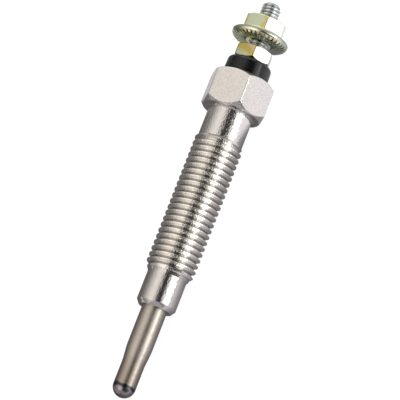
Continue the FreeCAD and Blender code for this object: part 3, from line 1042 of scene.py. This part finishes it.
class PLUG_OT_stage(bpy.types.Operator):
    """Sets the floor, the light tent and the camera"""

    bl_idname = "plug.stage"
    bl_label = "Stage"

    def execute(self, context):
        stage = context.scene.plug_stage
        self.lay_floor(stage)
        self.put_up_tent(stage)
        self.set_room(stage)
        self.set_camera(context)
        context.scene.view_settings.view_transform = "Standard"
        return {"FINISHED"}

    def lay_floor(self, stage):
        """A grey floor, white to the camera and brighter in reflections where the zones below say so."""
        bpy.ops.object.select_all(action="DESELECT")
        bpy.ops.mesh.primitive_plane_add(size=6)
        floor = named("floor")
        material, tree, position = start_material("floor_paper")
        shader = tree.nodes["Principled BSDF"]
        fibres = noise(position, 900.0, 2.0)
        paper = blend(fibres, scaled(stage.floor, 0.99), scaled(stage.floor, 1.01))
        tree.links.new(paper, shader.inputs["Base Color"])
        shader.inputs["Roughness"].default_value = 0.95
        shader.inputs["Specular IOR Level"].default_value = 0.0
        path = node(tree, "LightPath").outputs
        along, across = node(tree, "SeparateXYZ", {0: position}).outputs[:2]
        # Each zone: from and to in mm with the value at each end, along the plug and then across it
        zones = (
            ((-15, 20, 1.0, 0.72), (-28, 5, stage.floor_gloss, 0.0)),  # in front, on the strip's side
            ((18, 25, 0.0, stage.floor_near), (14, 26, 1.0, 0.0)),  # behind the hexagon and the nuts
            ((-90, -45, 1.0, 0.0), (15, 40, 0.0, stage.floor_far)),  # past the tip
            ((14, 21, 0.0, 1.0), (-12, 0, 1.0, 0.0)),  # in front of the flange
            ((50, 80, 0.0, stage.floor_far), (-30, 0, 0.45, 1.0)),  # past the terminal
        )
        bright = 0.0
        for (left, right, at_left, at_right), (front, back, at_front, at_back) in zones:
            zone = times(
                spread(along, left * MM, right * MM, at_left, at_right),
                spread(across, front * MM, back * MM, at_front, at_back),
            )
            bright = maths("MAXIMUM", zone, bright)
        mirror = maths("MAXIMUM", path["Is Glossy Ray"], path["Is Transmission Ray"])
        seen = times(path["Is Camera Ray"], stage.floor_glow)
        glow = maths("ADD", seen, times(mirror, bright))
        tree.links.new(glow, shader.inputs["Emission Strength"])
        tint = blend(path["Is Camera Ray"], (0.98, 0.955, 1.0, 1), WHITE)
        tree.links.new(tint, shader.inputs["Emission Color"])
        floor.data.materials.append(material)

    def put_up_tent(self, stage):
        """A half-round light tent. Each stop is an angle from straight up, towards -Y, and a brightness."""
        bpy.ops.object.select_all(action="DESELECT")
        bpy.ops.mesh.primitive_cylinder_add(
            vertices=128, radius=stage.tent_radius, depth=stage.tent_length, end_fill_type="NOTHING",
            rotation=(0, math.pi / 2, 0),
        )
        tent = named("light_tent")
        bpy.ops.object.transform_apply(location=True, rotation=True, scale=True)
        open_mesh()
        bpy.ops.mesh.bisect(plane_co=(0, 0, 0.001), plane_no=(0, 0, 1), clear_inner=True)
        bpy.ops.object.mode_set(mode="OBJECT")
        side, glow, top, dark = stage.side_light, stage.side_glow, stage.top_light, stage.dark_strip
        warm, cool = (1.0, 0.965, 0.92), (1.0, 0.995, 0.985)
        stops = (
            (-90.0, 0.20 * top), (-71.5, 0.27 * top), (-45.5, 0.68 * top), (-22.5, top),
            (-6.5, 0.92 * top), (8.5, 0.36 * top), (15.5, 1.5 * dark), (23.5, dark),
            (37.0, dark), (44.0, 0.06 * glow), (51.0, 0.38 * glow), (59.5, glow),
            (70.5, 1.6 * glow), (73.5, side), (81.5, side), (85.0, 0.2 * side),
        )
        material, tree, position = start_material("tent_cloth")
        tree.nodes.remove(tree.nodes["Principled BSDF"])
        along, across, up = node(tree, "SeparateXYZ", {0: position}).outputs
        angle = maths("ARCTAN2", times(across, -1.0), up)
        # The bands round the camera lean over past the hexagon
        middle = times(swing(angle, 10, 35), swing(angle, 45, 75, 1, 0))
        lean = spread(along, 0.055, 0.095, math.radians(9), math.radians(2))
        angle = maths("ADD", angle, times(middle, lean))
        turned_share = maths("ADD", times(angle, 1 / math.pi), 0.5)
        ramp = node(tree, "ValToRGB", {0: turned_share})
        elements = ramp.color_ramp.elements
        for at, brightness in stops[1:-1]:
            elements.new((at + 90) / 180)
        for element, (at, brightness) in zip(elements, stops):
            element.position = (at + 90) / 180
            element.color = scaled(warm if at < 30 else cool, brightness / side)
        # A little brighter above past the tip, and dim low down there
        low = swing(angle, 35, 50)
        above = spread(along, -0.04, 0.02, 1.15, 1.0)
        beside = spread(along, -0.12, -0.04, 0.06, 1.0)
        strength = times(mean(low, above, beside), side)
        # The end past the terminal
        end = scaled((1.0, 0.98, 0.95), stage.end_light / side)
        end_share = times(spread(along, 0.17, 0.28, 0.0, 0.85), swing(angle, -65, -30, 0.1, 1.0))
        cloth = blend(end_share, ramp.outputs[0], blend(low, end, scaled(end, 0.4)))
        light = node(tree, "Emission", {"Color": cloth, "Strength": strength})
        tree.links.new(light.outputs[0], tree.nodes["Material Output"].inputs["Surface"])
        tent.data.materials.append(material)
        tent.visible_camera = False

    def set_room(self, stage):
        """White behind everything to the camera, and dim past the tent's open ends."""
        world = bpy.data.worlds.new("room")
        bpy.context.scene.world = world
        world.use_nodes = True
        tree = world.node_tree
        background = tree.nodes["Background"]
        seen = node(tree, "LightPath").outputs["Is Camera Ray"]
        tree.links.new(maths("MAXIMUM", seen, stage.fill), background.inputs["Strength"])
        tree.links.new(blend(seen, (0.97, 0.94, 1.0, 1), WHITE), background.inputs["Color"])

    def set_camera(self, context):
        """The camera looks down on the plug from in front, from a little towards its tip."""
        camera = bpy.data.cameras.new("camera")
        holder = bpy.data.objects.new("camera", camera)
        bpy.context.collection.objects.link(holder)
        upright = Matrix(((0, 0, 1), (1, 0, 0), (0, 1, 0))).to_4x4()
        holder.matrix_world = (
            laid_down() @ Matrix.Translation((0, 0, CAMERA_AIM * MM))
            @ Matrix.Rotation(CAMERA_TURN, 4, "Z") @ Matrix.Rotation(CAMERA_LEAN, 4, "Y") @ upright
            @ Matrix.Rotation(CAMERA_ROLL, 4, "Z") @ Matrix.Translation(Vector(CAMERA_PLACE) * MM)
        )
        camera.lens = CAMERA_LENS
        camera.clip_start = 0.01
        camera.clip_end = 20.0
        context.scene.camera = holder


SETTINGS = {"plug_sizes": PlugSizes, "plug_finish": PlugFinish, "plug_stage": PlugStage}

PIECES = (
    PLUG_OT_housing,
    PLUG_OT_heater_tube,
    PLUG_OT_electrode,
    PLUG_OT_bush,
    PLUG_OT_clamp_nut,
    PLUG_OT_terminal_nut,
    PLUG_OT_inner_finish,
    PLUG_OT_stage,
)


class PLUG_PT_panel(bpy.types.Panel):
    """Lists the plug's pieces, sizes and finishes"""

    bl_idname = "PLUG_PT_panel"
    bl_label = "Glow plug"
    bl_space_type = "VIEW_3D"
    bl_region_type = "UI"
    bl_category = "Glow plug"

    def draw(self, context):
        for piece in PIECES:
            self.layout.operator(piece.bl_idname)
        for name, kind in SETTINGS.items():
            box = self.layout.box()
            for key in kind.__annotations__:
                box.prop(getattr(context.scene, name), key)


CLASSES = (*SETTINGS.values(), *PIECES, PLUG_PT_panel)


def register():
    for entry in CLASSES:
        bpy.utils.register_class(entry)
    for name, kind in SETTINGS.items():
        setattr(bpy.types.Scene, name, bpy.props.PointerProperty(type=kind))


def unregister():
    for name in SETTINGS:
        delattr(bpy.types.Scene, name)
    for entry in reversed(CLASSES):
        bpy.utils.unregister_class(entry)


def main():
    register()
    bpy.ops.plug.housing()
    bpy.ops.plug.heater_tube()
    bpy.ops.plug.electrode()
    bpy.ops.plug.bush()
    bpy.ops.plug.clamp_nut()
    bpy.ops.plug.terminal_nut()
    bpy.ops.plug.inner_finish()
    bpy.ops.plug.stage()


if __name__ == "__main__":
    main()
